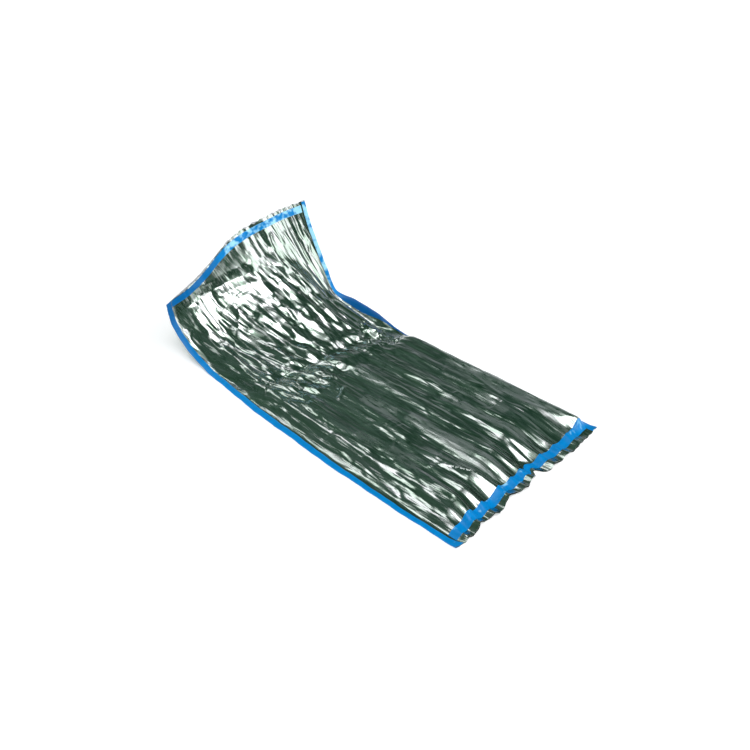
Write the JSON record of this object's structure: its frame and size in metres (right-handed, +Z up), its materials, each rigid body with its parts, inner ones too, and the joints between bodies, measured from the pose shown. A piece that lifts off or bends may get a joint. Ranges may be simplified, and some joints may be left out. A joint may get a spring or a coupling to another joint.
{
  "type": "emergency sleeping bag",
  "caption": "Flat emergency sleeping bag of shiny metallised film with bright tape along its edges, lying on the floor with its open head end curled up.",
  "frame": {"origin": "on the floor, under the middle of the bag's outer box", "axes": "+Y from the foot to the head, +X to the right seen from the foot, +Z up from the floor"},
  "size_m": [1.0044, 1.939, 0.5964],
  "materials": {
    "film": "crinkled metallised film, dark green sheen",
    "film_under": "crinkled metallised film, silver",
    "tape": "glossy blue adhesive tape"
  },
  "bodies": {
    "root": {"lower_film": "film_under", "upper_film": "film", "side_tape_left": "tape", "side_tape_right": "tape", "foot_tape": "tape", "head_tape": "tape"}
  },
  "joints": []
}
